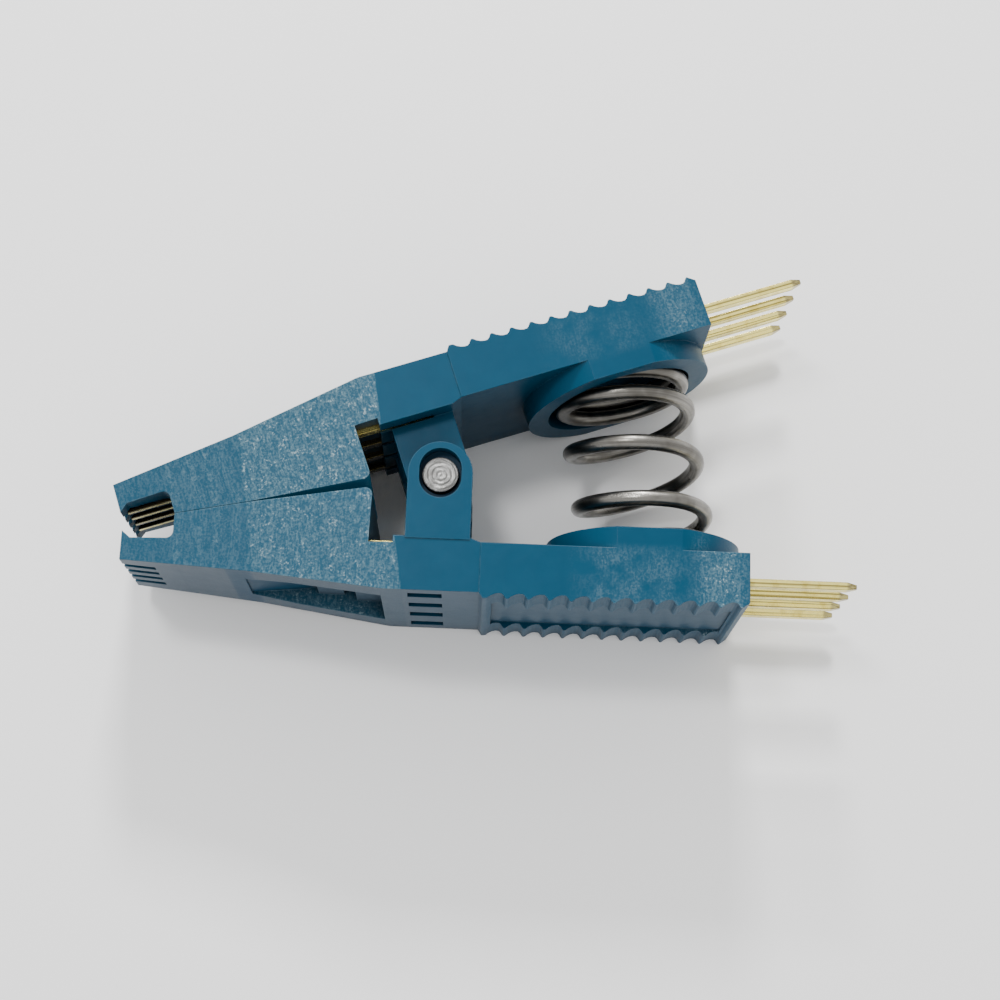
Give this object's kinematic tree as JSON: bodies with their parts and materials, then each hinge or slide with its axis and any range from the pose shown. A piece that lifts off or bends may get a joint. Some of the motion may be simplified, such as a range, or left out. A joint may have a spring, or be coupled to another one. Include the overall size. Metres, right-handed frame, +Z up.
{
  "type": "ic test clip",
  "caption": "Spring-loaded clip that grips a small-outline chip in its nose and brings its leads out to square posts at the tails of its handles.",
  "frame": {"origin": "on the resting side's plane, in the plane where the jaws meet, halfway between the nose tips and the ends of the tail posts", "axes": "+X from the nose to the tail along the plane where the jaws meet, +Y towards the upper arm, +Z up along the hinge axis from the side that it rests on"},
  "size_m": [0.0404, 0.0196, 0.0105],
  "materials": {
    "body_plastic": "moulded, part spark-eroded texture and part smooth",
    "pin_steel": "turned end faces",
    "spring_steel": "drawn wire, bright",
    "contact_metal": "thin gold plate"
  },
  "bodies": {
    "lower_arm": {"lower_body": "body_plastic", "lower_contact_1": "contact_metal", "lower_contact_2": "contact_metal", "lower_contact_3": "contact_metal", "lower_contact_4": "contact_metal", "spring": "spring_steel"},
    "upper_arm": {"upper_body": "body_plastic", "upper_contact_1": "contact_metal", "upper_contact_2": "contact_metal", "upper_contact_3": "contact_metal", "upper_contact_4": "contact_metal", "hinge_pin": "pin_steel"}
  },
  "joints": [
    {"name": "jaw_hinge", "type": "hinge", "parent": "lower_arm", "child": "upper_arm", "pos_m": [-0.00191, 0, 0], "axis": [0, 0, -1], "range_deg": [0, 32], "stiffness_Nm_per_rad": 0.6, "springref_deg": -9.74, "deforming": ["spring"]}
  ]
}
